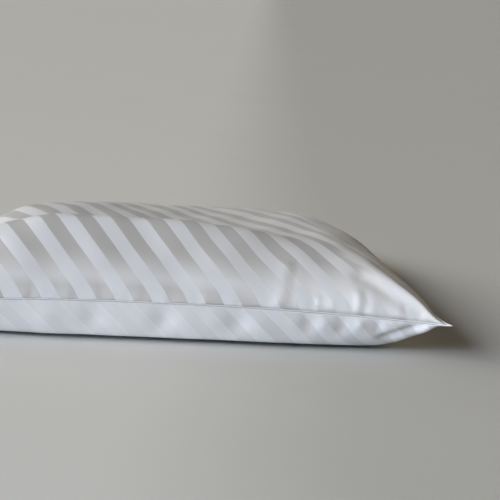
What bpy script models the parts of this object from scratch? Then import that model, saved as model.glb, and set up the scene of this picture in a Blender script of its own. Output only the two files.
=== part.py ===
"""A filled pillowcase lying flat: two sewn cloth panels as one soft closed solid.

Metres, +Z up. The long side lies along X, and the side seen in the photograph is the one at -Y.
The origin is the middle of the underside, on the surface that the pillow rests on.
"""

import math
from collections import namedtuple

import bmesh
import bpy
from mathutils import Vector

# The case as it lies filled, from corner to corner of its sewn edge
CORNER_X = 0.338
CORNER_Y = 0.289
DRAW_IN_SHORT_SIDE = 0.007
DRAW_IN_LONG_SIDE = 0.021
SIDE_CURVE = 2.6

# Height of the sewn edge above the surface
SEAM_AT_CORNER = 0.0455
SEAM_AT_LONG_SIDE = 0.052
SEAM_AT_SHORT_SIDE = 0.0618
LONG_SEAM_CURVE = 2.2
SHORT_SEAM_CURVE = 6.5
EDGE_WEIGHT_POWER = 8
LEAST_WEIGHT = 1e-9

# How far in from the sewn edge each side face reaches the top
NEAR_FACE = 0.165
FAR_FACE = 0.150
END_FACE = 0.155
END_FACE_POWER = 1.9
HIP_SHARPNESS = 24.0

# The near face where it has a shoulder: a short steep foot at the seam, then straight up to it
SHOULDER_IN_FROM_SEAM = 0.086
SHOULDER_FOOT = 0.20
SHOULDER_FOOT_WIDTH = 0.007

# The soft crest along the near side, the hollow behind it, and the fall beyond the summit
CREST_IN_FROM_SEAM = 0.088
CREST_FRONT_WIDTH = 0.036
CREST_BACK_WIDTH = 0.023
CREST_FOOT = 0.35
HOLLOW_IN_FROM_SEAM = 0.122
HOLLOW_WIDTH = 0.026
SUMMIT_WIDTH = 0.022
FAR_SLOPE = 0.25

# The underside, which lifts off further at the four corners
UNDER_CURVE = 0.023
UNDER_CURVE_END = 0.090
CORNER_LIFT = 0.29
CORNER_LIFT_POWER = 4.2
UNDER_SHARPNESS = 10.0
UNDER_FLAT_FROM = 0.79

# A rise that is complete, a little over 1 so that the soft least of them stays near 1
FULL = 1.05

# The pressed edge outside the seam, and the ear at each corner
LIP_WIDTH = 0.0025
LIP_THICKNESS = 0.0018
EAR_LENGTH = 0.012
EAR_POWER = 22
EAR_LIFT = 0.0035
EAR_REACH = 0.012

# Rows of faces along and across each panel, packed towards the seams
ROWS_ALONG = 44
ROWS_ACROSS = 52
PACKING_ALONG = 0.90
PACKING_ACROSS = 0.93

# Stations from the left end (-1) to the right end (+1): the height of the top behind the crest, how
# far the crest stands above it, how deep the hollow is, how far in from the near seam the summit
# lies, and how much of the near face is straight up to a shoulder
Section = namedtuple("Section", "station crown crest hollow summit shoulder")
SECTIONS = (
    Section(-1.00, 0.1020, 0.000, 0.000, 0.160, 0.3),
    Section(-0.75, 0.1165, 0.006, 0.005, 0.160, 0.7),
    Section(-0.50, 0.1420, 0.003, 0.009, 0.180, 1.0),
    Section(-0.25, 0.1390, 0.009, 0.007, 0.240, 1.0),
    Section(0.00, 0.1300, 0.016, 0.004, 0.300, 1.0),
    Section(0.25, 0.1245, 0.017, 0.001, 0.335, 0.8),
    Section(0.50, 0.1245, 0.005, 0.000, 0.340, 0.3),
    Section(0.75, 0.1250, 0.000, 0.000, 0.350, 0.0),
    Section(1.00, 0.1270, 0.000, 0.000, 0.400, 0.0),
)

# Folds in the cloth, ridges where their depth is below 0. "along" is measured from the middle,
# positive to the right, and "inward" from the long seam at -Y, or from the one at +Y where "side" is 1
Fold = namedtuple("Fold", "panel side along inward to_along to_inward half_width depth")
FOLDS = (
    Fold("top", -1, 0.145, 0.040, 0.129, 0.003, 0.008, -0.0016),
    Fold("top", -1, 0.225, 0.016, 0.224, 0.002, 0.007, -0.0012),
    Fold("top", -1, 0.248, 0.046, 0.330, 0.003, 0.011, -0.0020),
    Fold("top", -1, 0.235, 0.036, 0.300, 0.007, 0.013, 0.0024),
    Fold("under", -1, 0.153, 0.002, 0.158, 0.012, 0.010, 0.0012),
    Fold("under", -1, 0.199, 0.002, 0.203, 0.011, 0.010, 0.0014),
    Fold("under", -1, 0.266, 0.016, 0.297, 0.004, 0.008, 0.0024),
    Fold("under", -1, -0.007, 0.003, -0.010, 0.014, 0.013, 0.0022),
    Fold("under", -1, -0.094, 0.003, -0.097, 0.014, 0.010, 0.0016),
    Fold("top", -1, -0.270, 0.004, -0.225, 0.045, 0.016, 0.0030),
    Fold("top", 1, -0.150, 0.003, -0.128, 0.036, 0.015, 0.0026),
    Fold("top", 1, 0.060, 0.003, 0.048, 0.032, 0.013, 0.0022),
    Fold("top", 1, 0.236, 0.006, 0.180, 0.060, 0.016, 0.0030),
)

FOLD_ROUNDING = 0.6

CLOTH_COLOUR = (0.60, 0.61, 0.62, 1.0)
CLOTH_ROUGHNESS = 0.42


def blend(start, end, share):
    """Value between start and end at a share from 0 to 1."""
    return start + (end - start) * share


def section_value(station, column):
    """Height in a column of SECTIONS at a station, on a smooth curve through the rows."""
    rows = SECTIONS
    last = len(rows) - 1
    row = 0
    while row < last - 1 and station > rows[row + 1].station:
        row += 1
    share = (station - rows[row].station) / (rows[row + 1].station - rows[row].station)
    before, left, right, after = (
        getattr(rows[min(max(row + step, 0), last)], column) for step in (-1, 0, 1, 2)
    )
    return 0.5 * (
        2.0 * left
        + (right - before) * share
        + (2.0 * before - 5.0 * left + 4.0 * right - after) * share ** 2
        + (3.0 * left - before - 3.0 * right + after) * share ** 3
    )


def round_rise(distance, reach):
    """Quarter-round rise from 0 at the seam to 1 at the reach, steep at the seam."""
    left = 1.0 - min(max(distance / reach, 0.0), 1.0)
    return math.sqrt(1.0 - left ** 2)


def sloping_rise(distance, reach, power):
    """Rise from 0 at the seam to 1 at the reach, with a moderate slope at the seam."""
    left = 1.0 - min(max(distance / reach, 0.0), 1.0)
    return 1.0 - left ** power


def shoulder_rise(distance):
    """Rise from 0 at the near seam through a short steep foot, then straight on past the shoulder."""
    foot = SHOULDER_FOOT * (1.0 - math.exp(-distance / SHOULDER_FOOT_WIDTH))
    return foot + (1.0 - SHOULDER_FOOT) * distance / SHOULDER_IN_FROM_SEAM


def bell(offset, width):
    """A smooth bump of height 1 at offset 0."""
    return math.exp(-0.5 * (offset / width) ** 2)


def soft_least(values, sharpness):
    """Least of several values, rounded where two of them meet."""
    return -math.log(sum(math.exp(-sharpness * value) for value in values)) / sharpness


def outline(a, b):
    """Half length and half width of the sewn edge, and the case's place in plan, at panel place a, b."""
    half_length = CORNER_X - DRAW_IN_SHORT_SIDE * (1.0 - abs(b) ** SIDE_CURVE)
    half_width = CORNER_Y - DRAW_IN_LONG_SIDE * (1.0 - abs(a) ** SIDE_CURVE)
    ear = EAR_LENGTH * abs(a * b) ** EAR_POWER
    x = a * (half_length + ear)
    y = b * (half_width + ear)
    return half_length, half_width, x, y


def ear_share(a, b):
    """How far the two panels are pressed flat together, from 1 at a corner's tip to 0."""
    half_length, half_width, x, y = outline(a, b)
    reach = math.hypot(half_length * (1.0 - abs(a)), half_width * (1.0 - abs(b)))
    return math.exp(-((reach / EAR_REACH) ** 2))


def seam_height(a, b):
    """Height of the sewn edge, carried inwards from the nearest side."""
    long_side = blend(SEAM_AT_CORNER, SEAM_AT_LONG_SIDE, 1.0 - abs(a) ** LONG_SEAM_CURVE)
    short_side = blend(SEAM_AT_CORNER, SEAM_AT_SHORT_SIDE, 1.0 - abs(b) ** SHORT_SEAM_CURVE)
    weight_long = abs(b) ** EDGE_WEIGHT_POWER + LEAST_WEIGHT
    weight_short = abs(a) ** EDGE_WEIGHT_POWER + LEAST_WEIGHT
    seam = (long_side * weight_long + short_side * weight_short) / (weight_long + weight_short)
    return seam + EAR_LIFT * abs(a * b) ** EAR_POWER


def top_height(a, near):
    """Height of the top at a station and a distance in from the near seam, and the crest's share of it."""
    beyond_summit = (near - section_value(a, "summit")) / SUMMIT_WIDTH
    fall = FAR_SLOPE * SUMMIT_WIDTH * math.log1p(math.exp(beyond_summit))
    off = near - CREST_IN_FROM_SEAM
    if off < 0.0:
        front = blend(bell(off, CREST_FRONT_WIDTH), 1.0, section_value(a, "shoulder"))
    else:
        front = bell(off, CREST_BACK_WIDTH)
    bump = section_value(a, "crest") * front
    bump -= section_value(a, "hollow") * bell(near - HOLLOW_IN_FROM_SEAM, HOLLOW_WIDTH)
    return section_value(a, "crown") - fall, bump


def top_place(a, b):
    """Point of the top panel at panel place a, b, each from -1 to 1."""
    half_length, half_width, x, y = outline(a, b)
    near = half_width * (1.0 + b)
    far = half_width * (1.0 - b)
    shoulder = section_value(a, "shoulder")
    rises = (
        blend(round_rise(near, NEAR_FACE), shoulder_rise(near), shoulder),
        round_rise(far, FAR_FACE),
        sloping_rise(half_length * (1.0 + a), END_FACE, END_FACE_POWER),
        sloping_rise(half_length * (1.0 - a), END_FACE, END_FACE_POWER),
        FULL,
    )
    at_seam = soft_least((0.0, 0.0, FULL, FULL, FULL), HIP_SHARPNESS)
    rise = max(soft_least(rises, HIP_SHARPNESS) - at_seam, 0.0) * (1.0 - ear_share(a, b))
    height, bump = top_height(a, near)
    share = blend(min(rise / CREST_FOOT, 1.0), min(rise, 1.0), shoulder)
    return Vector((x, y, blend(seam_height(a, b), height, rise) + bump * share))


def under_place(a, b):
    """Point of the bottom panel at panel place a, b: level with the surface but for its rim."""
    half_length, half_width, x, y = outline(a, b)
    lift = CORNER_LIFT * abs(a * b) ** CORNER_LIFT_POWER
    drops = (
        round_rise(half_width * (1.0 + b), UNDER_CURVE + lift),
        round_rise(half_width * (1.0 - b), UNDER_CURVE + lift),
        round_rise(half_length * (1.0 + a), UNDER_CURVE_END + lift),
        round_rise(half_length * (1.0 - a), UNDER_CURVE_END + lift),
        FULL,
    )
    at_seam = soft_least((0.0, FULL, FULL, FULL, FULL), UNDER_SHARPNESS)
    drop = (soft_least(drops, UNDER_SHARPNESS) - at_seam) / UNDER_FLAT_FROM
    drop = min(max(drop, 0.0), 1.0) * (1.0 - ear_share(a, b))
    return Vector((x, y, seam_height(a, b) * (1.0 - drop)))


def packed(value, packing):
    """Panel place of a grid line, with the lines packed towards the two seams."""
    return math.sin(value * packing * math.pi / 2.0) / math.sin(packing * math.pi / 2.0)


def fold_depth(panel, point):
    """How deep the folds press the cloth in at a point of a panel."""
    edge = CORNER_Y - DRAW_IN_LONG_SIDE * (1.0 - min(abs(point.x) / CORNER_X, 1.0) ** SIDE_CURVE)
    place = Vector((point.x, edge - abs(point.y)))
    depth = 0.0
    for fold in FOLDS:
        if fold.panel != panel or fold.side * point.y < 0.0:
            continue
        start = Vector((fold.along, fold.inward))
        run = Vector((fold.to_along, fold.to_inward)) - start
        share = min(max((place - start).dot(run) / run.length_squared, 0.0), 1.0)
        off = (place - start - run * share).length
        depth += fold.depth * math.exp(-0.5 * (off / (FOLD_ROUNDING * fold.half_width)) ** 2)
    return depth


def beyond(line, rows):
    """Panel place of a grid line, and -1 or 1 for the outermost line, which edges the lip."""
    place = line * (rows + 2) / rows
    if abs(place) > 1.0 + 1e-6:
        return math.copysign(1.0, place), math.copysign(1.0, place)
    return min(max(place, -1.0), 1.0), 0.0


def make_panel(panel, place, rise):
    """One cloth panel with its folds, and round it the lip that stands out beyond the seam."""
    mesh = bmesh.new()
    bmesh.ops.create_grid(
        mesh, x_segments=ROWS_ALONG + 2, y_segments=ROWS_ACROSS + 2, size=1.0
    )
    inside = []
    for vert in mesh.verts:
        a, lip_x = beyond(vert.co.x, ROWS_ALONG)
        b, lip_y = beyond(vert.co.y, ROWS_ACROSS)
        vert.co = place(packed(a, PACKING_ALONG), packed(b, PACKING_ACROSS))
        vert.co += Vector((LIP_WIDTH * lip_x, LIP_WIDTH * lip_y, 0.0))
        if abs(a) == 1.0 or abs(b) == 1.0:
            vert.co.z += rise
        else:
            inside.append(vert)
    if rise < 0.0:
        bmesh.ops.reverse_faces(mesh, faces=mesh.faces)
    mesh.normal_update()
    moves = [vert.normal * -fold_depth(panel, vert.co) for vert in inside]
    for vert, move in zip(inside, moves):
        if vert.co.z > 0.0:
            vert.co += move
            vert.co.z = max(vert.co.z, 0.0)
    return mesh


def sew(top, under):
    """Both panels in one mesh, closed along the outside of their lips."""
    copy = bpy.data.meshes.new("under panel")
    under.to_mesh(copy)
    under.free()
    top.from_mesh(copy)
    bpy.data.meshes.remove(copy)
    bmesh.ops.bridge_loops(top, edges=[edge for edge in top.edges if edge.is_boundary])
    bmesh.ops.recalc_face_normals(top, faces=top.faces)
    return top


def rest_on_surface(mesh):
    """Brings the middle of the box's underside to the origin."""
    xs = [vert.co.x for vert in mesh.verts]
    ys = [vert.co.y for vert in mesh.verts]
    middle = Vector(((min(xs) + max(xs)) / 2.0, (min(ys) + max(ys)) / 2.0, 0.0))
    bmesh.ops.translate(mesh, verts=mesh.verts, vec=-middle)


def cloth_material():
    """Pale satin-woven cotton."""
    material = bpy.data.materials.new("satin cotton")
    material.use_nodes = True
    shader = material.node_tree.nodes["Principled BSDF"]
    shader.inputs["Base Color"].default_value = CLOTH_COLOUR
    shader.inputs["Roughness"].default_value = CLOTH_ROUGHNESS
    shader.inputs["Metallic"].default_value = 0.0
    return material


def make_pillowcase(collection):
    """The filled case as one closed solid."""
    top = make_panel("top", top_place, LIP_THICKNESS / 2.0)
    under = make_panel("under", under_place, -LIP_THICKNESS / 2.0)
    shape = sew(top, under)
    rest_on_surface(shape)
    mesh = bpy.data.meshes.new("pillowcase")
    shape.to_mesh(mesh)
    shape.free()
    mesh.shade_smooth()
    mesh.materials.append(cloth_material())
    pillowcase = bpy.data.objects.new("pillowcase", mesh)
    collection.objects.link(pillowcase)
    return pillowcase


def main():
    """Clears the scene and models the pillowcase."""
    for old in list(bpy.data.objects):
        bpy.data.objects.remove(old)
    collection = bpy.data.collections.new("filled pillowcase")
    bpy.context.scene.collection.children.link(collection)
    make_pillowcase(collection)


if __name__ == "__main__":
    main()
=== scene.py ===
"""A filled pillowcase in diagonal satin stripe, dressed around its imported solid.

Metres, +Z up. The long side lies along X, the side in the photograph is at -Y, and the origin is
under the middle of the case, on the surface that it rests on. Places on a panel are a, from -1 at
the left seam to 1 at the right one, and b, from -1 at the near seam to 1 at the far one.
"""

import logging
import math
from dataclasses import dataclass
from enum import Enum
from typing import NamedTuple

import bpy
import numpy as np
from mathutils import Matrix, Vector


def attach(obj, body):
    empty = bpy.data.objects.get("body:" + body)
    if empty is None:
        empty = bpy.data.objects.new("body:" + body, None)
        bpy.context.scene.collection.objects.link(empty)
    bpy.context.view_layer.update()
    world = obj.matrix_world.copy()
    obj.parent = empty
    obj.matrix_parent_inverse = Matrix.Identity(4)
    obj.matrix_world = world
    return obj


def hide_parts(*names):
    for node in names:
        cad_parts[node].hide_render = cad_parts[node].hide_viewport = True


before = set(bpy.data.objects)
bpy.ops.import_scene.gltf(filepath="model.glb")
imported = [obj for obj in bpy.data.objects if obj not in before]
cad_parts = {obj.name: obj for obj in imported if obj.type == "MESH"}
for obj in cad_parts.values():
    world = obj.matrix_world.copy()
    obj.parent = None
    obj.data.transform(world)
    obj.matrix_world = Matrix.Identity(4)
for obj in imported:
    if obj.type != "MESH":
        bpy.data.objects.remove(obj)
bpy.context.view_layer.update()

LOG = logging.getLogger("pillowcase")
CLOTH_MAP = "cloth"
SEAM_MAP = "seam"
TINY = 1e-9
Socket = bpy.types.NodeSocket


class Panel(Enum):
    """The two cloth panels of the case, by the way that they face."""

    TOP = 1
    UNDER = -1


class Edge(Enum):
    """The four sewn sides of a panel."""

    NEAR = "long side in the photograph"
    FAR = "long side behind"
    LEFT = "short side at -X"
    RIGHT = "short side at +X"


class Section(NamedTuple):
    """Form of the top at a station along the case, from -1 at the left end to 1 at the right end.

    The crown is the height there, and the summit how far in from the near seam the top starts to
    fall away. The crest and the hollow behind it add to the height and take from it. The shoulder
    is 1 where the near face is straight and 0 where it is round.
    """

    station: float
    crown: float
    crest: float
    hollow: float
    summit: float
    shoulder: float


class Wave(NamedTuple):
    """A run of soft waves in the cloth: its lengths along and up, its start and its height."""

    length_along: float
    length_up: float
    start: float
    height: float

    def press(self, along: np.ndarray, up: np.ndarray, shift: float = 0.0) -> np.ndarray:
        """How far the waves press the cloth in at cloth places, with their start shifted."""
        turn = along / self.length_along + up / self.length_up
        return self.height * np.sin(2.0 * math.pi * turn + self.start + shift)


class Ramp(NamedTuple):
    """A smooth step, by the place where it is 0 and the place where it is 1."""

    zero: float
    one: float


class LipRow(NamedTuple):
    """One line of the sewn lip, by how far it lies out from the seam and above it."""

    out: float
    rise: float


class PanelGrid(NamedTuple):
    """Grids of a panel's points and of its cloth places, near seam first and left seam first."""

    points: np.ndarray
    cloth: np.ndarray


def soft_least(values: list, sharpness: float) -> np.ndarray:
    """Least of several values, rounded where two of them meet, and tighter if it is sharper."""
    return -np.log(sum(np.exp(-sharpness * value) for value in values)) / sharpness


def round_rise(distance: np.ndarray, reach: float) -> np.ndarray:
    """Quarter-round rise from 0 at a seam to 1 at the reach, steep at the seam."""
    left = 1.0 - np.clip(distance / reach, 0.0, 1.0)
    return np.sqrt(1.0 - left ** 2)


def sloping_rise(distance: np.ndarray, reach: float, power: float) -> np.ndarray:
    """Rise from 0 at a seam to 1 at the reach, with a moderate slope at the seam."""
    left = 1.0 - np.clip(distance / reach, 0.0, 1.0)
    return 1.0 - left ** power


def shoulder_rise(distance: np.ndarray, reach: float, foot: float, foot_width: float) -> np.ndarray:
    """Rise from 0 at a seam through a short steep foot, then straight on past 1 at the reach."""
    return foot * (1.0 - np.exp(-distance / foot_width)) + (1.0 - foot) * distance / reach


def blend(start: np.ndarray, end: np.ndarray, share: np.ndarray) -> np.ndarray:
    """Value between start and end at a share from 0 to 1."""
    return start + (end - start) * share


def bell(offset: np.ndarray, width: float) -> np.ndarray:
    """A smooth bump of height 1 at offset 0."""
    return np.exp(-0.5 * (offset / width) ** 2)


def smooth_step(value: np.ndarray, ramp: Ramp) -> np.ndarray:
    """Smooth share from 0 to 1 across a ramp."""
    share = np.clip((value - ramp.zero) / (ramp.one - ramp.zero), 0.0, 1.0)
    return share ** 2 * (3.0 - 2.0 * share)


@dataclass(frozen=True)
class Crease:
    """A soft trough in a panel, or a ridge where its depth is negative.

    Places are cloth lengths: along the edge from its middle, positive towards +X or +Y, and up
    from the edge.
    """

    panel: Panel
    edge: Edge
    along: float
    up: float
    to_along: float
    to_up: float
    half_width: float
    depth: float

    def press(self, along: np.ndarray, up: np.ndarray) -> np.ndarray:
        """How far the crease presses the cloth in.

        Args:
            along: Grid of places along the crease's edge.
            up: Grid of places up from that edge.

        Returns:
            The depth at each place.
        """
        place = np.stack([along, up], axis=-1)
        start = np.array([self.along, self.up])
        run = np.array([self.to_along, self.to_up]) - start
        share = np.clip(((place - start) @ run) / (run @ run), 0.0, 1.0)
        off = np.linalg.norm(place - start - share[..., None] * run, axis=-1)
        return self.depth * bell(off, self.half_width)


FACE_WAVES = (
    Wave(0.131, 0.210, 0.4, 0.00060),
    Wave(0.083, -0.160, 2.1, 0.00050),
    Wave(0.052, 0.095, 5.0, 0.00025),
    Wave(-0.071, 0.061, 3.3, 0.00025),
)
SEAM_GATHERS = (
    Wave(0.0290, 0.600, 0.9, 0.00030),
    Wave(0.0170, -0.400, 2.7, 0.00024),
    Wave(0.0107, 0.300, 4.4, 0.00014),
    Wave(0.0068, -0.200, 1.3, 0.00007),
)
CREASES = (
    Crease(Panel.TOP, Edge.NEAR, 0.1420, 0.064, 0.1270, 0.004, 0.0060, -0.0013),
    Crease(Panel.TOP, Edge.NEAR, 0.1530, 0.066, 0.1370, 0.004, 0.0034, 0.0006),
    Crease(Panel.TOP, Edge.NEAR, 0.1735, 0.018, 0.1730, 0.002, 0.0028, -0.0007),
    Crease(Panel.TOP, Edge.NEAR, 0.2250, 0.027, 0.2245, 0.002, 0.0040, -0.0012),
    Crease(Panel.TOP, Edge.NEAR, 0.2360, 0.032, 0.2330, 0.002, 0.0045, 0.0012),
    Crease(Panel.TOP, Edge.NEAR, 0.2350, 0.055, 0.3000, 0.010, 0.0085, 0.0034),
    Crease(Panel.TOP, Edge.NEAR, 0.2820, 0.015, 0.2900, 0.003, 0.0025, 0.0009),
    Crease(Panel.TOP, Edge.NEAR, 0.2480, 0.070, 0.3300, 0.003, 0.0060, -0.0009),
    Crease(Panel.UNDER, Edge.NEAR, 0.1480, 0.003, 0.1500, 0.011, 0.0045, -0.0016),
    Crease(Panel.UNDER, Edge.NEAR, 0.1810, 0.003, 0.1840, 0.013, 0.0050, -0.0017),
    Crease(Panel.UNDER, Edge.NEAR, 0.2270, 0.003, 0.2300, 0.011, 0.0042, -0.0016),
    Crease(Panel.UNDER, Edge.NEAR, 0.1600, 0.002, 0.1650, 0.020, 0.0070, 0.0032),
    Crease(Panel.UNDER, Edge.NEAR, 0.2030, 0.002, 0.2080, 0.018, 0.0070, 0.0034),
    Crease(Panel.UNDER, Edge.NEAR, 0.2480, 0.002, 0.2530, 0.014, 0.0055, 0.0032),
    Crease(Panel.UNDER, Edge.NEAR, 0.0850, 0.004, 0.0800, 0.020, 0.0110, 0.0040),
    Crease(Panel.UNDER, Edge.NEAR, 0.0480, 0.003, 0.0500, 0.012, 0.0120, -0.0016),
    Crease(Panel.UNDER, Edge.NEAR, 0.2640, 0.030, 0.2980, 0.006, 0.0052, 0.0036),
    Crease(Panel.UNDER, Edge.NEAR, 0.2800, 0.036, 0.3160, 0.008, 0.0060, -0.0018),
    Crease(Panel.UNDER, Edge.NEAR, -0.0070, 0.003, -0.0130, 0.021, 0.0100, 0.0040),
    Crease(Panel.UNDER, Edge.NEAR, -0.0940, 0.003, -0.0990, 0.020, 0.0090, 0.0030),
    Crease(Panel.UNDER, Edge.NEAR, -0.1500, 0.004, -0.1560, 0.020, 0.0130, -0.0016),
    Crease(Panel.TOP, Edge.NEAR, -0.2700, 0.010, -0.2250, 0.070, 0.0110, 0.0030),
    Crease(Panel.TOP, Edge.NEAR, -0.3250, 0.008, -0.2450, 0.085, 0.0080, -0.0025),
    Crease(Panel.TOP, Edge.FAR, -0.1500, 0.003, -0.1280, 0.050, 0.0090, 0.0026),
    Crease(Panel.TOP, Edge.FAR, 0.0600, 0.003, 0.0480, 0.044, 0.0080, 0.0022),
    Crease(Panel.TOP, Edge.FAR, 0.2360, 0.006, 0.1800, 0.080, 0.0100, 0.0030),
    Crease(Panel.TOP, Edge.FAR, 0.3200, 0.010, 0.2500, 0.080, 0.0090, -0.0022),
    Crease(Panel.TOP, Edge.FAR, -0.3200, 0.010, -0.2450, 0.085, 0.0090, -0.0022),
    Crease(Panel.TOP, Edge.RIGHT, 0.0400, 0.003, 0.0300, 0.050, 0.0080, 0.0020),
    Crease(Panel.TOP, Edge.RIGHT, 0.1700, 0.003, 0.1400, 0.055, 0.0080, 0.0020),
    Crease(Panel.TOP, Edge.LEFT, -0.1500, 0.003, -0.1300, 0.060, 0.0080, 0.0022),
    Crease(Panel.TOP, Edge.LEFT, 0.0200, 0.003, 0.0300, 0.050, 0.0080, 0.0020),
    Crease(Panel.TOP, Edge.LEFT, 0.1800, 0.003, 0.1500, 0.055, 0.0090, 0.0024),
)


@dataclass(frozen=True)
class CaseForm:
    """The filled form of the case: its outline, sewn edge, crown, crest and underside."""

    corner_x: float = 0.338
    corner_y: float = 0.289
    draw_in_short_side: float = 0.007
    draw_in_long_side: float = 0.021
    side_curve: float = 2.6
    ear_length: float = 0.012
    ear_power: float = 22.0
    ear_lift: float = 0.0035
    ear_reach: float = 0.012
    seam_at_corner: float = 0.0455
    seam_at_long_side: float = 0.052
    seam_at_short_side: float = 0.0618
    long_seam_curve: float = 2.2
    short_seam_curve: float = 6.5
    edge_weight_power: float = 8.0
    near_face: float = 0.165
    far_face: float = 0.150
    end_face: float = 0.155
    end_face_power: float = 1.9
    full: float = 1.05
    hip_sharpness: float = 34.0
    far_slope: float = 0.25
    summit_width: float = 0.022
    shoulder_in_from_seam: float = 0.086
    shoulder_foot: float = 0.20
    shoulder_foot_width: float = 0.007
    crest_in_from_seam: float = 0.088
    crest_front_width: float = 0.036
    crest_back_width: float = 0.023
    crest_foot: float = 0.35
    hollow_in_from_seam: float = 0.122
    hollow_width: float = 0.026
    under_curve: float = 0.019
    under_curve_end: float = 0.090
    corner_lift: float = 0.29
    corner_lift_power: float = 4.2
    under_sharpness: float = 10.0
    under_flat_from: float = 0.79
    under_settle: float = 0.06
    under_clear: float = 0.0003
    rim_gap: float = 0.0085
    rim_gap_reach: float = 0.100
    rim_gap_power: float = 1.5
    sections: tuple[Section, ...] = (
        Section(-1.00, 0.1020, 0.000, 0.000, 0.160, 0.3),
        Section(-0.75, 0.1165, 0.006, 0.005, 0.160, 0.7),
        Section(-0.50, 0.1420, 0.003, 0.009, 0.180, 1.0),
        Section(-0.25, 0.1390, 0.009, 0.007, 0.240, 1.0),
        Section(0.00, 0.1300, 0.016, 0.004, 0.300, 1.0),
        Section(0.25, 0.1245, 0.016, 0.001, 0.335, 0.6),
        Section(0.50, 0.1245, 0.004, 0.000, 0.340, 0.1),
        Section(0.75, 0.1250, 0.000, 0.000, 0.350, 0.0),
        Section(1.00, 0.1270, 0.000, 0.000, 0.400, 0.0),
    )

    def section_values(self, stations: np.ndarray, column: str) -> np.ndarray:
        """Values from the sections, on a smooth curve through the rows.

        Args:
            stations: Places along the case, from -1 to 1.
            column: Name of the column to read.

        Returns:
            The value at each station.
        """
        places = np.array([row.station for row in self.sections])
        values = np.array([getattr(row, column) for row in self.sections])
        last = len(places) - 1
        row = np.clip(np.searchsorted(places, stations, side="left") - 1, 0, last - 1)
        share = (stations - places[row]) / (places[row + 1] - places[row])
        before = values[np.maximum(row - 1, 0)]
        left = values[row]
        right = values[row + 1]
        after = values[np.minimum(row + 2, last)]
        return 0.5 * (
            2.0 * left
            + (right - before) * share
            + (2.0 * before - 5.0 * left + 4.0 * right - after) * share ** 2
            + (3.0 * left - before - 3.0 * right + after) * share ** 3
        )

    def half_sizes(self, a: np.ndarray, b: np.ndarray) -> tuple[np.ndarray, np.ndarray]:
        """Half length at b and half width at a, drawn in between the corners.

        Args:
            a: Places along.
            b: Places across.

        Returns:
            Half length and half width.
        """
        half_length = self.corner_x - self.draw_in_short_side * (1.0 - np.abs(b) ** self.side_curve)
        half_width = self.corner_y - self.draw_in_long_side * (1.0 - np.abs(a) ** self.side_curve)
        return half_length, half_width

    def tip_share(self, a: np.ndarray, b: np.ndarray) -> np.ndarray:
        """Share of an ear's length and lift, 1 at a corner's tip."""
        return np.abs(a * b) ** self.ear_power

    def plan(self, a: np.ndarray, b: np.ndarray) -> tuple[np.ndarray, np.ndarray]:
        """Plan of the case, with its ears drawn out.

        Args:
            a: Places along.
            b: Places across.

        Returns:
            The places' x and y.
        """
        half_length, half_width = self.half_sizes(a, b)
        ear = self.ear_length * self.tip_share(a, b)
        return a * (half_length + ear), b * (half_width + ear)

    def pressed_flat(self, a: np.ndarray, b: np.ndarray) -> np.ndarray:
        """How far the two panels are pressed flat together at an ear.

        Args:
            a: Places along.
            b: Places across.

        Returns:
            Share from 1 at a corner's tip to 0 away from it.
        """
        half_length, half_width = self.half_sizes(a, b)
        reach = np.hypot(half_length * (1.0 - np.abs(a)), half_width * (1.0 - np.abs(b)))
        return np.exp(-(reach / self.ear_reach) ** 2)

    def seam_height(self, a: np.ndarray, b: np.ndarray) -> np.ndarray:
        """Height of the sewn edge, carried inwards from the nearest side.

        Args:
            a: Places along.
            b: Places across.

        Returns:
            The height, with the near ears lifted.
        """
        mid_long = 1.0 - np.abs(a) ** self.long_seam_curve
        mid_short = 1.0 - np.abs(b) ** self.short_seam_curve
        long_side = blend(self.seam_at_corner, self.seam_at_long_side, mid_long)
        short_side = blend(self.seam_at_corner, self.seam_at_short_side, mid_short)
        weight_long = np.abs(b) ** self.edge_weight_power + TINY
        weight_short = np.abs(a) ** self.edge_weight_power + TINY
        seam = (long_side * weight_long + short_side * weight_short) / (weight_long + weight_short)
        near_share = (1.0 - b) / 2.0
        return seam + self.ear_lift * near_share * self.tip_share(a, b)

    def top_rise(self, a: np.ndarray, b: np.ndarray) -> np.ndarray:
        """Rise of the top through its four faces.

        Args:
            a: Places along.
            b: Places across.

        Returns:
            Rise from 0 at the sewn edge to about 1 over the faces.
        """
        half_length, half_width = self.half_sizes(a, b)
        near = half_width * (1.0 + b)
        straight = shoulder_rise(
            near, self.shoulder_in_from_seam, self.shoulder_foot, self.shoulder_foot_width
        )
        rises = [
            blend(round_rise(near, self.near_face), straight, self.section_values(a, "shoulder")),
            round_rise(half_width * (1.0 - b), self.far_face),
            sloping_rise(half_length * (1.0 + a), self.end_face, self.end_face_power),
            sloping_rise(half_length * (1.0 - a), self.end_face, self.end_face_power),
            self.full,
        ]
        at_seam = soft_least([0.0, 0.0, self.full, self.full, self.full], self.hip_sharpness)
        rise = np.maximum(soft_least(rises, self.hip_sharpness) - at_seam, 0.0)
        return rise * (1.0 - self.pressed_flat(a, b))

    def crest_height(self, a: np.ndarray, near: np.ndarray) -> np.ndarray:
        """What the crest and the hollow behind it add to the top.

        Args:
            a: Places along.
            near: Distances from the near seam.

        Returns:
            The height to add, below 0 in the hollow.
        """
        off = near - self.crest_in_from_seam
        front = blend(bell(off, self.crest_front_width), 1.0, self.section_values(a, "shoulder"))
        crest = np.where(off < 0.0, front, bell(off, self.crest_back_width))
        hollow = bell(near - self.hollow_in_from_seam, self.hollow_width)
        return self.section_values(a, "crest") * crest - self.section_values(a, "hollow") * hollow

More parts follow.
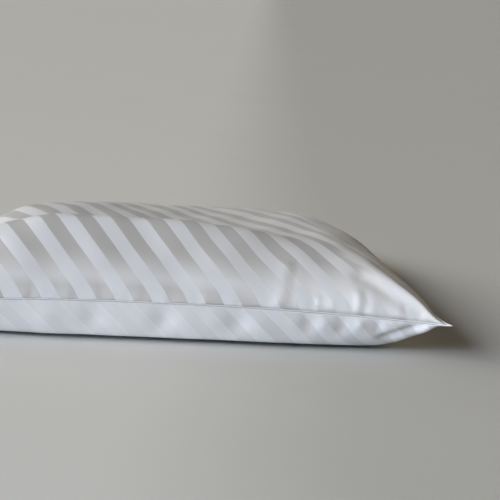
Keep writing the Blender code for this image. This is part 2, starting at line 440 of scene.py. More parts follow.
    def crown_height(self, a: np.ndarray, near: np.ndarray) -> np.ndarray:
        """Height of the full part of the top, which falls away behind the summit.

        Args:
            a: Places along.
            near: Distances from the near seam.

        Returns:
            The height.
        """
        beyond = (near - self.section_values(a, "summit")) / self.summit_width
        fall = self.far_slope * self.summit_width * np.log1p(np.exp(beyond))
        return self.section_values(a, "crown") - fall

    def top(self, a: np.ndarray, b: np.ndarray) -> np.ndarray:
        """Points of the top panel.

        Args:
            a: Places along.
            b: Places across.

        Returns:
            The points, one row of x, y and z each.
        """
        near = self.half_sizes(a, b)[1] * (1.0 + b)
        rise = self.top_rise(a, b)
        foot = np.minimum(rise / self.crest_foot, 1.0)
        crest_share = blend(foot, np.minimum(rise, 1.0), self.section_values(a, "shoulder"))
        z = blend(self.seam_height(a, b), self.crown_height(a, near), rise)
        z = z + self.crest_height(a, near) * crest_share
        return np.stack([*self.plan(a, b), z], axis=-1)

    def under_drop(self, a: np.ndarray, b: np.ndarray) -> np.ndarray:
        """Drop of the bottom panel, slower towards the lifted corners.

        Args:
            a: Places along.
            b: Places across.

        Returns:
            Drop from 0 at the sewn edge to 1, and past it over the flat.
        """
        half_length, half_width = self.half_sizes(a, b)
        lift = self.corner_lift * np.abs(a * b) ** self.corner_lift_power
        drops = [
            round_rise(half_width * (1.0 + b), self.under_curve + lift),
            round_rise(half_width * (1.0 - b), self.under_curve + lift),
            round_rise(half_length * (1.0 + a), self.under_curve_end + lift),
            round_rise(half_length * (1.0 - a), self.under_curve_end + lift),
            self.full,
        ]
        at_seam = soft_least([0.0, self.full, self.full, self.full, self.full], self.under_sharpness)
        drop = (soft_least(drops, self.under_sharpness) - at_seam) / self.under_flat_from
        return np.maximum(drop, 0.0) * (1.0 - self.pressed_flat(a, b))

    def rim_clearance(self, a: np.ndarray, b: np.ndarray) -> np.ndarray:
        """How far the rim of the underside would clear the surface.

        Args:
            a: Places along.
            b: Places across.

        Returns:
            The gap, most at the rim and none from its reach inwards.
        """
        half_length, half_width = self.half_sizes(a, b)
        inward = np.minimum(half_width * (1.0 - np.abs(b)), half_length * (1.0 - np.abs(a)))
        share = np.clip(1.0 - inward / self.rim_gap_reach, 0.0, 1.0)
        return self.rim_gap * share ** self.rim_gap_power

    def under(self, a: np.ndarray, b: np.ndarray) -> np.ndarray:
        """Points of the bottom panel, level with the surface but for its rim.

        Args:
            a: Places along.
            b: Places across.

        Returns:
            The points, one row of x, y and z each.
        """
        drop = self.under_drop(a, b)
        left = self.under_settle * np.log1p(np.exp((1.0 - drop) / self.under_settle))
        height = np.hypot(self.seam_height(a, b) * left, self.rim_clearance(a, b) * drop)
        z = np.maximum(height - self.under_clear, 0.0)
        return np.stack([*self.plan(a, b), z], axis=-1)


class NodeWriter:
    """Adds shader nodes to one tree and links them."""

    def __init__(self, tree: bpy.types.NodeTree) -> None:
        """Keeps the tree to write to."""
        self.tree = tree

    def node(self, kind: str, **options: object) -> bpy.types.Node:
        """Adds a node.

        Args:
            kind: The node's type.
            **options: Its options, by name.

        Returns:
            The node.
        """
        node = self.tree.nodes.new(kind)
        for name, value in options.items():
            setattr(node, name, value)
        return node

    def link(self, value: object, socket: Socket) -> None:
        """Feeds a socket from another socket, or sets it to a constant.

        Args:
            value: The other socket or the constant.
            socket: The socket to feed.
        """
        if isinstance(value, Socket):
            self.tree.links.new(value, socket)
        else:
            socket.default_value = value

    def math(self, operation: str, first: object, second: object = 0.0) -> Socket:
        """One arithmetic step.

        Args:
            operation: Name of the step.
            first: Socket or number.
            second: Socket or number.

        Returns:
            The result.
        """
        node = self.node("ShaderNodeMath", operation=operation)
        self.link(first, node.inputs[0])
        self.link(second, node.inputs[1])
        return node.outputs[0]

    def plus(self, first: object, second: object) -> Socket:
        """Sum of two sockets or numbers."""
        return self.math("ADD", first, second)

    def minus(self, first: object, second: object) -> Socket:
        """Difference of two sockets or numbers."""
        return self.math("SUBTRACT", first, second)

    def times(self, first: object, second: object) -> Socket:
        """Product of two sockets or numbers."""
        return self.math("MULTIPLY", first, second)

    def distance(self, first: Socket, second: float) -> Socket:
        """How far a socket's value is from a number."""
        return self.math("ABSOLUTE", self.minus(first, second))

    def ripple(self, value: Socket, length: float) -> Socket:
        """Sine wave of a length."""
        return self.math("SINE", self.times(value, 2.0 * math.pi / length))

    def between(self, share: Socket, start: float, end: float) -> Socket:
        """Number between start and end by a share."""
        return self.plus(self.times(share, end - start), start)

    def ramp(self, value: Socket, ramp: Ramp) -> Socket:
        """Smooth step, up or down.

        Args:
            value: The place.
            ramp: Where the step is 0 and where it is 1.

        Returns:
            Share from 0 to 1.
        """
        node = self.node("ShaderNodeMapRange", interpolation_type="SMOOTHSTEP")
        self.link(value, node.inputs["Value"])
        node.inputs["From Min"].default_value = min(ramp)
        node.inputs["From Max"].default_value = max(ramp)
        if ramp.zero > ramp.one:
            node.inputs["To Min"].default_value = 1.0
            node.inputs["To Max"].default_value = 0.0
        return node.outputs[0]

    def noise(self, place: Socket, scale: float, detail: float) -> Socket:
        """Noise at a place.

        Args:
            place: Vector.
            scale: Number of blotches in a metre.
            detail: Number of finer layers.

        Returns:
            Number from 0 to 1.
        """
        node = self.node("ShaderNodeTexNoise")
        self.link(place, node.inputs["Vector"])
        node.inputs["Scale"].default_value = scale
        node.inputs["Detail"].default_value = detail
        return node.outputs[0]

    def parts(self, vector: Socket) -> tuple[Socket, Socket]:
        """First and second part of a vector.

        Args:
            vector: The vector.

        Returns:
            The two numbers.
        """
        node = self.node("ShaderNodeSeparateXYZ")
        self.link(vector, node.inputs[0])
        return node.outputs[0], node.outputs[1]

    def mix_colour(self, share: Socket, first: tuple, second: tuple) -> Socket:
        """Mix of two colours.

        Args:
            share: Share of the second one.
            first: Colour at 0.
            second: Colour at 1.

        Returns:
            The mixed colour.
        """
        node = self.node("ShaderNodeMix", data_type="RGBA")
        self.link(share, node.inputs[0])
        self.link(first, node.inputs[6])
        self.link(second, node.inputs[7])
        return node.outputs[2]


class ClothPlace:
    """Where a point lies on the cut cloth, as sockets read from the piece's own maps."""

    panel_turn: Ramp = Ramp(-0.0005, 0.0005)

    def __init__(self, nodes: NodeWriter) -> None:
        """Reads the maps.

        Args:
            nodes: Writer of the material's tree.
        """
        self.cloth = nodes.node("ShaderNodeUVMap", uv_map=CLOTH_MAP).outputs[0]
        self.along, self.up = nodes.parts(self.cloth)
        seam_map = nodes.node("ShaderNodeUVMap", uv_map=SEAM_MAP).outputs[0]
        self.from_long, self.from_short = nodes.parts(seam_map)
        self.from_seam = nodes.math("MINIMUM", self.from_long, self.from_short)
        self.on_top = nodes.ramp(self.up, self.panel_turn)


@dataclass(frozen=True)
class StripeContrast:
    """How strongly the stripes show, from place to place, and where shade is painted into the cloth.

    Satin shows its stripes by the way that its threads catch the light, and here that light is painted
    into the cloth's colour: the stripes are painted faded low on the near face and strong again beside
    its seam, and faint on the far part of the top, at the right end, on the ridge to the near right
    corner and on the bottom panel. Painted shade darkens the right end's face and the cloth near the
    near right corner. The ramps are cloth lengths.
    """

    # Painted light: how much of the stripes' contrast shows at each place, 1 being full.
    low: float = 0.34
    low_face: Ramp = Ramp(0.030, 0.078)
    far: float = 0.75
    far_part: Ramp = Ramp(0.110, 0.150)
    seam: float = 0.95
    seam_band: Ramp = Ramp(0.034, 0.008)
    right: float = 0.80
    right_part: Ramp = Ramp(-0.02, 0.12)
    corner: float = 0.30
    ridge_along: Ramp = Ramp(0.06, 0.20)
    ridge_up: Ramp = Ramp(0.085, 0.02)
    under: float = 0.15
    under_right: float = 0.38
    end: float = 0.15
    end_reach: Ramp = Ramp(0.135, 0.105)
    end_half: Ramp = Ramp(0.0, 0.1)
    # Painted shade: how far the right end's face and the cloth near the near right corner are darkened
    # towards the dark colour.
    end_shade: float = 0.55
    hip_slant: float = 0.70
    hip_width: Ramp = Ramp(-0.002, 0.014)
    corner_shade: float = 0.45
    shade_along: Ramp = Ramp(0.17, 0.26)
    shade_up: Ramp = Ramp(0.120, 0.070)
    lip_width: Ramp = Ramp(0.0002, 0.0009)

    def on_end(self, nodes: NodeWriter, place: ClothPlace) -> Socket:
        """Share of the right end's face.

        Args:
            nodes: Writer of the material's tree.
            place: Where the point lies.

        Returns:
            1 on that face and 0 off it.
        """
        hip = nodes.times(place.from_short, self.hip_slant)
        past_hip = nodes.ramp(nodes.minus(place.from_long, hip), self.hip_width)
        in_reach = nodes.times(past_hip, nodes.ramp(place.from_short, self.end_reach))
        return nodes.times(in_reach, nodes.ramp(place.along, self.end_half))

    def shown(self, nodes: NodeWriter, place: ClothPlace, on_end: Socket) -> Socket:
        """How strongly the stripes show, painted by place to stand in for the light on the satin.

        Args:
            nodes: Writer of the material's tree.
            place: Where the point lies.
            on_end: Share of the right end's face.

        Returns:
            The contrast, 1 where it is full.
        """
        to_right = nodes.ramp(place.along, self.right_part)
        face = nodes.between(nodes.ramp(place.up, self.low_face), self.low, 1.0)
        face = nodes.times(face, nodes.between(nodes.ramp(place.up, self.far_part), 1.0, self.far))
        face = nodes.plus(face, nodes.times(nodes.ramp(place.up, self.seam_band), self.seam))
        face = nodes.times(face, nodes.between(to_right, 1.0, self.right))
        face = nodes.times(face, nodes.between(on_end, 1.0, self.end))
        ridge = nodes.times(nodes.ramp(place.along, self.ridge_along), nodes.ramp(place.up, self.ridge_up))
        face = nodes.times(face, nodes.between(ridge, 1.0, self.corner))
        below = nodes.between(to_right, self.under, self.under_right)
        below = nodes.times(below, nodes.minus(1.0, place.on_top))
        return nodes.plus(nodes.times(face, place.on_top), below)

    def painted_shade(self, nodes: NodeWriter, place: ClothPlace, on_end: Socket) -> Socket:
        """Share of the dark colour painted as shade on the right end's face and near the near right corner,
        with or without a stripe.

        Args:
            nodes: Writer of the material's tree.
            place: Where the point lies.
            on_end: Share of the right end's face.

        Returns:
            The share.
        """
        # Painted shade: darker cloth on the top near the near right corner, and on the right end's face.
        corner = nodes.times(nodes.ramp(place.along, self.shade_along), nodes.ramp(place.up, self.shade_up))
        corner = nodes.times(nodes.times(corner, place.on_top), self.corner_shade)
        return nodes.math("MAXIMUM", nodes.times(on_end, self.end_shade), corner)

    def dark(self, nodes: NodeWriter, place: ClothPlace, stripe: Socket) -> Socket:
        """Share of the dark colour at a point, from the stripes with their painted fading and from the
        painted shade.

        Args:
            nodes: Writer of the material's tree.
            place: Where the point lies.
            stripe: 1 in a dark stripe and 0 in a light one.

        Returns:
            The share, 0 on the sewn lip.
        """
        on_end = self.on_end(nodes, place)
        striped = nodes.times(stripe, self.shown(nodes, place, on_end))
        dark = nodes.math("MAXIMUM", striped, self.painted_shade(nodes, place, on_end))
        return nodes.times(dark, nodes.ramp(place.from_seam, self.lip_width))


@dataclass(frozen=True)
class SatinStripe:
    """Cotton satin whose stripes are one thread turned a quarter: floats across, then floats along.

    The pitch is a light and a dark stripe, measured square to them, and dark_middle is how far a
    dark stripe's middle lies from the middle of the near seam, measured the same way.
    """

    contrast: StripeContrast = StripeContrast()
    pitch: float = 0.0391
    angle: float = math.radians(60.0)
    dark_middle: float = 0.0055
    under_slant: float = 1.8
    edge_softness: float = 0.012
    border_turn: float = 0.25
    border_width: Ramp = Ramp(0.030, 0.010)
    # Painted highlight: how much a thin line at the stripe borders is brightened, on the top and on the
    # bottom panel.
    border_highlight_gain: float = 0.015
    under_border_highlight_gain: float = 0.08
    light_colour: tuple = (0.80, 0.81, 0.83, 1.0)
    dark_colour: tuple = (0.535, 0.522, 0.510, 1.0)
    tint_scale: float = 14.0
    tint_detail: float = 3.0
    tint_depth: float = 0.02
    light_roughness: float = 0.48
    dark_roughness: float = 0.46
    creased_roughness: float = 0.32
    creased_part: Ramp = Ramp(0.16, 0.27)
    metallic: float = 0.30
    anisotropy: float = 0.45
    light_thread_turn: float = 0.25
    sheen: float = 0.10
    sheen_roughness: float = 0.4
    grain_scale: float = 420.0
    grain_detail: float = 2.0
    grain_roughness: float = 0.03
    thread_pitch: float = 0.0005
    weave_height: float = 0.000010
    slub_height: float = 0.00006
    stitch_pitch: float = 0.0030
    stitch_width: Ramp = Ramp(0.0014, 0.0)
    stitch_height: float = 0.00007

    def stripe_turn(self, nodes: NodeWriter, place: ClothPlace) -> Socket:
        """Place within a pair of stripes, whose slant is flatter on the bottom panel.

        Args:
            nodes: Writer of the material's tree.
            place: Where the point lies.

        Returns:
            Number from 0 to 1, with 0.5 in the middle of the dark stripe.
        """
        along = nodes.times(place.along, math.sin(self.angle) / self.pitch)
        below_seam = nodes.math("MINIMUM", place.up, 0.0)
        up = nodes.plus(nodes.times(below_seam, self.under_slant - 1.0), place.up)
        up = nodes.times(up, math.cos(self.angle) / self.pitch)
        start = 0.5 - self.dark_middle / self.pitch
        return nodes.math("FRACT", nodes.plus(nodes.plus(along, up), start))

    def colour(self, nodes: NodeWriter, place: ClothPlace, turn: Socket, stripe: Socket) -> Socket:
        """Colour of the cloth: the stripes with their painted fading, the painted shade, a painted highlight
        as one bright border line a pair, and a slight tint.

        Args:
            nodes: Writer of the material's tree.
            place: Where the point lies.
            turn: Place within a pair of stripes.
            stripe: 1 in a dark stripe and 0 in a light one.

        Returns:
            The colour.
        """
        dark = self.contrast.dark(nodes, place, stripe)
        tint = nodes.noise(place.cloth, self.tint_scale, self.tint_detail)
        level = nodes.between(tint, 1.0 - self.tint_depth, 1.0 + self.tint_depth)
        # Painted highlight: a thin bright line at one border of each pair of stripes, stronger on the bottom
        # panel.
        border = nodes.ramp(nodes.distance(turn, self.border_turn), self.border_width)
        gain = nodes.between(place.on_top, self.under_border_highlight_gain, self.border_highlight_gain)
        shade = nodes.node("ShaderNodeHueSaturation")
        nodes.link(nodes.mix_colour(dark, self.light_colour, self.dark_colour), shade.inputs["Color"])
        nodes.link(nodes.plus(level, nodes.times(border, gain)), shade.inputs["Value"])
        return shade.outputs[0]

    def roughness(self, nodes: NodeWriter, place: ClothPlace, stripe: Socket, grain: Socket) -> Socket:
        """Roughness of the cloth, more where it is creased towards the right.

        Args:
            nodes: Writer of the material's tree.
            place: Where the point lies.
            stripe: 1 in a dark stripe and 0 in a light one.
            grain: Fine noise.

        Returns:
            The roughness.
        """
        rough = nodes.between(stripe, self.light_roughness, self.dark_roughness)
        creased = nodes.times(nodes.ramp(place.along, self.creased_part), self.creased_roughness)
        speck = nodes.between(grain, -self.grain_roughness, self.grain_roughness)
        return nodes.plus(nodes.plus(rough, creased), speck)

    def relief(self, nodes: NodeWriter, place: ClothPlace, stripe: Socket, grain: Socket) -> Socket:
        """Relief of the threads, the slubs and the stitches beside the seam.

        Args:
            nodes: Writer of the material's tree.
            place: Where the point lies.
            stripe: 1 in a dark stripe and 0 in a light one.
            grain: Fine noise.

        Returns:
            The bumped normal.
        """
        threads_up = nodes.times(nodes.ripple(place.along, self.thread_pitch), stripe)
        light = nodes.minus(1.0, stripe)
        threads_along = nodes.times(nodes.ripple(place.up, self.thread_pitch), light)
        weave = nodes.times(nodes.plus(threads_up, threads_along), self.weave_height)
        relief = nodes.plus(weave, nodes.times(grain, self.slub_height))
        stitch = nodes.ripple(nodes.plus(place.along, place.up), self.stitch_pitch)
        stitch = nodes.times(nodes.ramp(place.from_seam, self.stitch_width), stitch)
        relief = nodes.plus(relief, nodes.times(stitch, self.stitch_height))
        bump = nodes.node("ShaderNodeBump")
        bump.inputs["Strength"].default_value = 1.0
        bump.inputs["Distance"].default_value = 1.0
        nodes.link(relief, bump.inputs["Height"])
        return bump.outputs[0]

    def make(self) -> bpy.types.Material:
        """Writes the cloth's material.

        Returns:
            The material, which reads the piece's own maps.
        """
        material = bpy.data.materials.new("striped satin cotton")
        material.use_nodes = True
        nodes = NodeWriter(material.node_tree)
        place = ClothPlace(nodes)
        turn = self.stripe_turn(nodes, place)
        dark_edge = Ramp(0.25 + self.edge_softness, 0.25 - self.edge_softness)
        stripe = nodes.ramp(nodes.distance(turn, 0.5), dark_edge)
        grain = nodes.noise(place.cloth, self.grain_scale, self.grain_detail)
        tangent = nodes.node("ShaderNodeTangent", direction_type="UV_MAP", uv_map=CLOTH_MAP)
        settings = {
            "Base Color": self.colour(nodes, place, turn, stripe),
            "Roughness": self.roughness(nodes, place, stripe, grain),
            "Metallic": self.metallic,
            "Anisotropic": self.anisotropy,
            "Anisotropic Rotation": nodes.between(stripe, self.light_thread_turn, 0.0),
            "Tangent": tangent.outputs[0],
            "Sheen Weight": self.sheen,
            "Sheen Roughness": self.sheen_roughness,
            "Normal": self.relief(nodes, place, stripe, grain),
        }
        shader = material.node_tree.nodes["Principled BSDF"]
        for name, value in settings.items():
            nodes.link(value, shader.inputs[name])
        return material


@dataclass(frozen=True)
class ClothPanels:
    """The two cut panels over the filled form, with their waves, gathers and creases."""

    form: CaseForm = CaseForm()
    rows_along: int = 260
    rows_across: int = 150
    packing_along: float = 0.60
    packing_across: float = 0.93
    cut_length: float = 0.700
    slack: float = 0.0065
    slack_part: Ramp = Ramp(0.08, 0.18)
    wave_reach: float = 0.030
    under_wave_share: float = 2.0
    under_wave_reach: float = 0.030
    gather_reach: float = 0.011
    gather_shortest: float = 0.4
    gather_growth: float = 20.0
    corner_gather: float = 1.6
    corner_gather_reach: float = 0.090
    short_seam_fade: float = 0.006

    def panel_places(self) -> list[np.ndarray]:
        """Panel places of every grid point, packed towards the seams.

        Returns:
            Grids of a and of b.
        """
        lines = []
        for rows, packing in ((self.rows_along, self.packing_along), (self.rows_across, self.packing_across)):
            quarter = packing * math.pi / 2.0
            lines.append(np.sin(np.linspace(-quarter, quarter, rows + 1)) / math.sin(quarter))
        return np.meshgrid(*lines)

    def cloth_places(self, points: np.ndarray, panel: Panel) -> np.ndarray:
        """Where each grid point lies on the cut cloth, with some slack taken up right of the middle.

        Args:
            points: Grid of points.
            panel: Which panel they belong to.

        Returns:
            Grid of cloth lengths: along from the middle, and up from the near seam, negative on
            the bottom panel, so that the stripes run on round that seam.
        """
        steps_along = np.linalg.norm(np.diff(points, axis=1), axis=2)
        steps_up = np.linalg.norm(np.diff(points, axis=0), axis=2)
        along = np.zeros(points.shape[:2])
        up = np.zeros(points.shape[:2])
        along[:, :-1] = -np.cumsum(steps_along[:, ::-1], axis=1)[:, ::-1]
        along += self.cut_length / 2.0
        along -= self.slack * smooth_step(along, self.slack_part)
        up[1:, :] = np.cumsum(steps_up, axis=0)
        return np.stack([along, up * panel.value], axis=-1)

    def seam_places(self, cloth: np.ndarray) -> np.ndarray:
        """How far each grid point is from the seams.

        Args:
            cloth: Grid of cloth places.

        Returns:
            Grid of distances from the nearest long seam and from the nearest short seam.
        """
        along = cloth[..., 0]
        up = np.abs(cloth[..., 1])
        from_long = np.minimum(up, up[-1:, :] - up)
        from_short = np.minimum(along[:, -1:] - along, along - along[:, :1])
        return np.stack([from_long, from_short], axis=-1)

    def wave_depth(self, panel: Panel, cloth: np.ndarray) -> np.ndarray:
        """Soft waves of a panel's face, which keep to the rim on the bottom panel.

        Args:
            panel: The panel.
            cloth: Grid of its cloth places.

        Returns:
            How far they press it in.
        """
        off = np.min(self.seam_places(cloth), axis=-1)
        depth = sum(wave.press(cloth[..., 0], cloth[..., 1]) for wave in FACE_WAVES)
        depth *= 1.0 - np.exp(-off / self.wave_reach)
        if panel is Panel.UNDER:
            depth *= self.under_wave_share * np.exp(-(off / self.under_wave_reach) ** 2)
        return depth

    def gather_depth(self, panel: Panel, cloth: np.ndarray) -> np.ndarray:
        """Tight gathers next to the seams, deeper towards the corners.

        Args:
            panel: The panel.
            cloth: Grid of its cloth places.

        Returns:
            How far they press it in.
        """
        seam = self.seam_places(cloth)
        off = np.min(seam, axis=-1)
        run = np.where(seam[..., 0] < seam[..., 1], cloth[..., 0], np.abs(cloth[..., 1]))
        corner = 1.0 + self.corner_gather * np.exp(-np.max(seam, axis=-1) / self.corner_gather_reach)
        depth = np.zeros(off.shape)
        for wave in SEAM_GATHERS:
            reach = self.gather_reach * (self.gather_shortest + self.gather_growth * wave.length_along)
            depth += wave.press(run, off, shift=panel.value) * corner * np.exp(-off / reach)
        return depth

    def crease_depth(self, panel: Panel, cloth: np.ndarray) -> np.ndarray:
        """How far the creases press a panel in.

        Args:
            panel: The panel.
            cloth: Grid of its cloth places.

        Returns:
            Depth at each grid point.
        """
        along = cloth[..., 0]
        up = np.abs(cloth[..., 1])
        middle = up[-1:, up.shape[1] // 2] / 2.0
        frames = {
            Edge.NEAR: (along, up),
            Edge.FAR: (along, up[-1:, :] - up),
            Edge.RIGHT: (up - middle, along[:, -1:] - along),
            Edge.LEFT: (up - middle, along - along[:, :1]),
        }
        return sum(crease.press(*frames[crease.edge]) for crease in CREASES if crease.panel is panel)

    def shape(self, panel: Panel) -> PanelGrid:
        """Shapes one panel.

        Args:
            panel: The panel.

        Returns:
            Its points with all folds, and its cloth places.
        """
        places = self.panel_places()
        points = self.form.top(*places) if panel is Panel.TOP else self.form.under(*places)
        cloth = self.cloth_places(points, panel)
        normal = np.cross(np.gradient(points, axis=1), np.gradient(points, axis=0)) * panel.value
        normal /= np.linalg.norm(normal, axis=-1, keepdims=True)
        inside = np.zeros(points.shape[:2])
        inside[1:-1, 1:-1] = 1.0
        inside *= 1.0 - np.exp(-(self.seam_places(cloth)[..., 1] / self.short_seam_fade) ** 2)
        depth = self.crease_depth(panel, cloth) + self.wave_depth(panel, cloth)
        depth += self.gather_depth(panel, cloth)
        points = points - normal * (depth * inside)[..., None]
        points[..., 2] = np.maximum(points[..., 2], 0.0)
        return PanelGrid(points, cloth)


@dataclass(frozen=True)
class SewnEdge:
    """The sewn edge all round: a thin pressed lip between two shallow grooves."""

    groove: float = 0.0004
    lip: tuple[LipRow, ...] = (
        LipRow(-0.0004, 0.0004),
        LipRow(0.0004, 0.0008),
        LipRow(0.0014, 0.0),
        LipRow(0.0004, -0.0006),
        LipRow(-0.0004, -0.0003),
    )

    def ring(self, rows: int, columns: int) -> np.ndarray:
        """Numbers of a panel's seam points, once round from the near left corner."""
        numbers = np.arange(rows * columns).reshape(rows, columns)
        return np.concatenate([numbers[0, :-1], numbers[:-1, -1], numbers[-1, :0:-1], numbers[:0:-1, 0]])

    def outward(self, rows: int, columns: int) -> np.ndarray:
        """Level directions away from the case at the seam points, both sides' at a corner.

        Args:
            rows: Rows of the grid.
            columns: Columns of the grid.

        Returns:
            One direction for each point of the ring.
        """
        directions = np.array([(0.0, -1.0, 0.0), (1.0, 0.0, 0.0), (0.0, 1.0, 0.0), (-1.0, 0.0, 0.0)])
        counts = np.array([columns - 1, rows - 1, columns - 1, rows - 1])
        out = np.repeat(directions, counts, axis=0)
        corners = np.cumsum(counts) - counts
        out[corners] += out[corners - 1]
        return out

    def points(self, seam: np.ndarray, outward: np.ndarray) -> list[np.ndarray]:
        """Rings of points of the lip, from the top groove over it to the bottom one."""
        up = np.array([0.0, 0.0, 1.0])
        return [seam + outward * row.out + up * row.rise for row in self.lip]

    def faces(self, ring: np.ndarray, count: int) -> list[np.ndarray]:
        """Strips of faces from the top panel's ring over the lip to the bottom panel's.

        Args:
            ring: Numbers of the top panel's seam points.
            count: Points in a panel.

        Returns:
            The strips, four numbers a face.
        """
        lips = [2 * count + number * len(ring) + np.arange(len(ring)) for number in range(len(self.lip))]
        rings = [ring, *lips, ring + count]
        return [
            np.stack([lower, np.roll(lower, -1), np.roll(upper, -1), upper], axis=-1)
            for upper, lower in zip(rings, rings[1:])
        ]


@dataclass(frozen=True)
class Pillowcase:
    """The filled case: two striped panels sewn together all round and turned, one padded piece."""

    panels: ClothPanels = ClothPanels()
    edge: SewnEdge = SewnEdge()
    finish: SatinStripe = SatinStripe()
    fill: float = 0.7

    def near_right_corner(self) -> Vector:
        """Tip of the near right ear."""
        one = np.ones(1)
        return Vector(self.panels.form.top(one, -one)[0])

    def fill_maps(self, mesh: bpy.types.Mesh, top: PanelGrid, under: PanelGrid, ring: np.ndarray) -> None:
        """Gives the mesh its cloth map and its seam map.

        Args:
            mesh: The mesh, with the points of the top, the bottom and the lip in that order.
            top: The top panel.
            under: The bottom panel.
            ring: Numbers of the top panel's seam points.
        """
        corners = np.zeros(len(mesh.loops), dtype=np.int32)
        mesh.loops.foreach_get("vertex_index", corners)
        seam_places = self.panels.seam_places
        maps = {
            CLOTH_MAP: (top.cloth, under.cloth),
            SEAM_MAP: (seam_places(top.cloth), seam_places(under.cloth)),
        }
        for name, (top_places, under_places) in maps.items():
            flat = top_places.reshape(-1, 2)
            places = np.concatenate([flat, under_places.reshape(-1, 2)] + [flat[ring]] * len(self.edge.lip))
            layer = mesh.uv_layers.new(name=name)
            layer.uv.foreach_set("vector", places[corners].astype(np.float32).ravel())

    def build(self) -> bpy.types.Object:
        """Makes the case, sewn and closed, with its maps and its cloth.

        Returns:
            The piece.
        """
        top = self.panels.shape(Panel.TOP)
        under = self.panels.shape(Panel.UNDER)
        rows, columns = top.points.shape[:2]
        count = rows * columns
        ring = self.edge.ring(rows, columns)
        top_points = top.points.reshape(-1, 3).copy()
        under_points = under.points.reshape(-1, 3).copy()
        lips = self.edge.points(top_points[ring], self.edge.outward(rows, columns))
        top_points[ring, 2] += self.edge.groove
        under_points[ring, 2] -= self.edge.groove
        points = np.concatenate([top_points, under_points, *lips])
        numbers = np.arange(count).reshape(rows, columns)
        quads = np.stack([numbers[:-1, :-1], numbers[:-1, 1:], numbers[1:, 1:], numbers[1:, :-1]], axis=-1)
        quads = quads.reshape(-1, 4)
        faces = np.concatenate([quads, quads[:, ::-1] + count, *self.edge.faces(ring, count)])
        mesh = bpy.data.meshes.new("filled_pillowcase")
        mesh.from_pydata(points.tolist(), [], faces.tolist())
        self.fill_maps(mesh, top, under, ring)
        mesh.shade_smooth()
        mesh.materials.append(self.finish.make())
        piece = bpy.data.objects.new("filled_pillowcase", mesh)
        bpy.context.scene.collection.objects.link(piece)
        return piece

    def dress(self, piece: bpy.types.Object) -> None:
        """Args:
            piece: The piece.
        """
        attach(piece, "root")
        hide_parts("pillowcase")


@dataclass(frozen=True)
class PhotoCamera:
    """The camera of the photograph, placed by where the near right corner shows in its frame."""

    frame_size: float = 500.0
    sensor_width: float = 36.0
    turn: float = math.radians(-9.5)
    elevation: float = math.radians(11.0)
    roll: float = math.radians(4.8)
    distance: float = 2.0
    pixels_per_metre: float = 800.0
    corner_pixel: tuple = (452.0, 326.0)

    def build(self, corner: Vector) -> bpy.types.Object:
        """Sets the camera up.

        Args:
            corner: The near right corner of the case.

        Returns:
            The camera's object, which is also the scene's camera.
        """
        level = math.cos(self.elevation)
        ahead = Vector(
            (math.sin(-self.turn) * level, math.cos(-self.turn) * level, -math.sin(self.elevation))
        )
        right = ahead.cross(Vector((0.0, 0.0, 1.0))).normalized()
        up = right.cross(ahead)
        rolled_right = right * math.cos(self.roll) + up * math.sin(self.roll)
        rolled_up = up * math.cos(self.roll) - right * math.sin(self.roll)
        middle = self.frame_size / 2.0
        across = (self.corner_pixel[0] - middle) / self.pixels_per_metre
        down = (self.corner_pixel[1] - middle) / self.pixels_per_metre
        place = corner - ahead * self.distance - rolled_right * across + rolled_up * down
        lens = bpy.data.cameras.new("photo_camera")
        lens.sensor_width = self.sensor_width
        lens.lens = self.pixels_per_metre * self.distance / self.frame_size * self.sensor_width
        camera = bpy.data.objects.new("photo_camera", lens)
        matrix = Matrix((rolled_right, rolled_up, -ahead)).transposed().to_4x4()
        matrix.translation = place
        camera.matrix_world = matrix
        bpy.context.scene.collection.objects.link(camera)
        bpy.context.scene.camera = camera
        return camera


@dataclass(frozen=True)
class Lamp:
    """A soft light, by the way to it: azimuth 0 is at -Y, in front, and 90 at +X, in degrees."""

    name: str
    azimuth: float
    elevation: float
    colour: tuple

    def build(self) -> bpy.types.Object:
        """Makes the light, which each kind of lamp does in its own way."""
        raise NotImplementedError(self.name)

    def way(self) -> Vector:
        """Unit vector to the light.

        Returns:
            The vector.
        """
        turned = math.radians(self.azimuth)
        raised = math.radians(self.elevation)
        level = math.cos(raised)
        return Vector((math.sin(turned) * level, -math.cos(turned) * level, math.sin(raised)))

    def hang(self, lamp: bpy.types.Light, place: Vector) -> bpy.types.Object:
        """Hangs the lamp, turned back along the way to it.

        Args:
            lamp: The lamp.
            place: Where it hangs.

        Returns:
            The light's object.
        """
        lamp.color = self.colour
        light = bpy.data.objects.new(self.name, lamp)
        light.location = place
        light.rotation_euler = (-self.way()).to_track_quat("-Z", "Y").to_euler()
        bpy.context.scene.collection.objects.link(light)
        return light


@dataclass(frozen=True)
class SkyPatch(Lamp):
    """A broad, even light from one direction, as from a wall or a large window."""

    spread: float
    strength: float
    hung_at: float = 3.0

    def build(self) -> bpy.types.Object:
        """Makes the light.

        Returns:
            The light's object.
        """
        lamp = bpy.data.lights.new(self.name, "SUN")
        lamp.energy = self.strength
        lamp.angle = math.radians(self.spread)
        return self.hang(lamp, self.way() * self.hung_at)


@dataclass(frozen=True)
class SoftBox(Lamp):
    """A square soft light near the case, which fades across the floor."""

    distance: float
    size: float
    power: float
    aim_height: float = 0.05

    def build(self) -> bpy.types.Object:
        """Makes the light.

        Returns:
            The light's object.
        """
        lamp = bpy.data.lights.new(self.name, "AREA")
        lamp.shape = "SQUARE"
        lamp.size = self.size
        lamp.energy = self.power
        return self.hang(lamp, Vector((0.0, 0.0, self.aim_height)) + self.way() * self.distance)


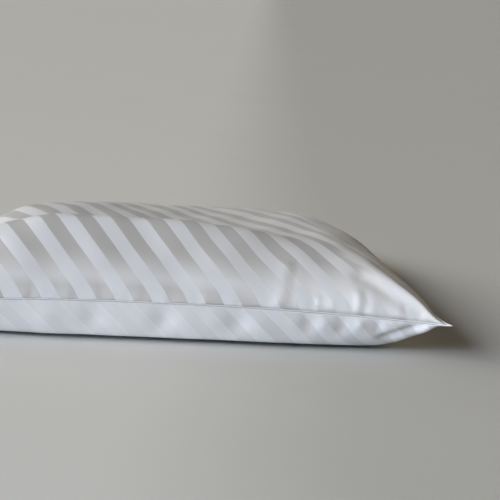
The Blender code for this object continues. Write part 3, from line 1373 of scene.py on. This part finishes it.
@dataclass(frozen=True)
class PaleFloor:
    """Matt pale grey with painted shade, darker towards the right of the picture where the light falls off,
    with a trace of mottle.
    """

    colour: tuple = (0.634, 0.642, 0.634, 1.0)
    shaded_right_colour: tuple = (0.474, 0.480, 0.468, 1.0)
    fade_turn: float = math.radians(9.5)
    fade: Ramp = Ramp(-0.04, 0.32)
    mottle: float = 0.2
    mottle_scale: float = 3.0
    mottle_detail: float = 3.0
    roughness: float = 0.8

    def make(self) -> bpy.types.Material:
        """Writes the floor's material.

        Returns:
            The material, which reads the floor's own coordinates.
        """
        material = bpy.data.materials.new("pale floor")
        material.use_nodes = True
        nodes = NodeWriter(material.node_tree)
        place = nodes.node("ShaderNodeTexCoord").outputs["Object"]
        x, y = nodes.parts(place)
        # Painted shade: the floor's colour darkens towards the right, standing in for the light's falloff.
        right = nodes.minus(
            nodes.times(x, math.cos(self.fade_turn)), nodes.times(y, math.sin(self.fade_turn))
        )
        noise = nodes.noise(place, self.mottle_scale, self.mottle_detail)
        mottle = nodes.times(nodes.minus(noise, 0.5), self.mottle)
        share = nodes.plus(nodes.ramp(right, self.fade), mottle)
        shader = material.node_tree.nodes["Principled BSDF"]
        nodes.link(nodes.mix_colour(share, self.colour, self.shaded_right_colour), shader.inputs["Base Color"])
        nodes.link(self.roughness, shader.inputs["Roughness"])
        return material


@dataclass(frozen=True)
class Studio:
    """A plain pale floor under soft light."""

    floor_size: float = 120.0
    floor_finish: PaleFloor = PaleFloor()
    air_colour: tuple = (0.62, 0.60, 0.56, 1.0)
    air_strength: float = 0.01
    lamps: tuple[Lamp, ...] = (
        SkyPatch("left_window", -75.0, 25.0, (1.0, 0.94, 0.89), 32.0, 1.74),
        SkyPatch("low_front_light", -47.0, 22.0, (0.78, 0.87, 1.0), 16.0, 1.84),
        SkyPatch("back_left_light", -110.0, 16.0, (1.0, 0.95, 0.76), 36.0, 1.60),
        SkyPatch("low_right_light", 45.0, 20.0, (1.0, 0.96, 0.88), 20.0, 0.37),
        SkyPatch("high_right_light", 85.0, 38.0, (1.0, 0.76, 0.46), 40.0, 0.42),
        SoftBox("front_left_box", -40.0, 20.0, (0.58, 0.74, 1.0), 3.0, 2.0, 16.5),
    )

    def lay_floor(self) -> None:
        """Lays the floor."""
        bpy.ops.object.select_all(action="DESELECT")
        bpy.ops.mesh.primitive_plane_add(size=self.floor_size)
        floor = bpy.context.active_object
        floor.name = "floor"
        floor.data.materials.append(self.floor_finish.make())

    def build(self) -> None:
        """Lays the floor, hangs the lights and sets the air and the view."""
        self.lay_floor()
        for lamp in self.lamps:
            lamp.build()
        air = bpy.data.worlds.new("studio_air")
        air.use_nodes = True
        background = air.node_tree.nodes["Background"]
        background.inputs[0].default_value = self.air_colour
        background.inputs[1].default_value = self.air_strength
        bpy.context.scene.world = air
        bpy.context.scene.view_settings.view_transform = "Standard"


def main() -> None:
    """Builds the camera, the studio and the pillowcase, and reports each piece."""
    logging.basicConfig(level=logging.INFO, format="%(message)s")
    pillowcase = Pillowcase()
    PhotoCamera().build(pillowcase.near_right_corner())
    Studio().build()
    piece = pillowcase.build()
    pillowcase.dress(piece)
    LOG.info("%s: %d faces", piece.name, len(piece.data.polygons))


if __name__ == "__main__":
    main()
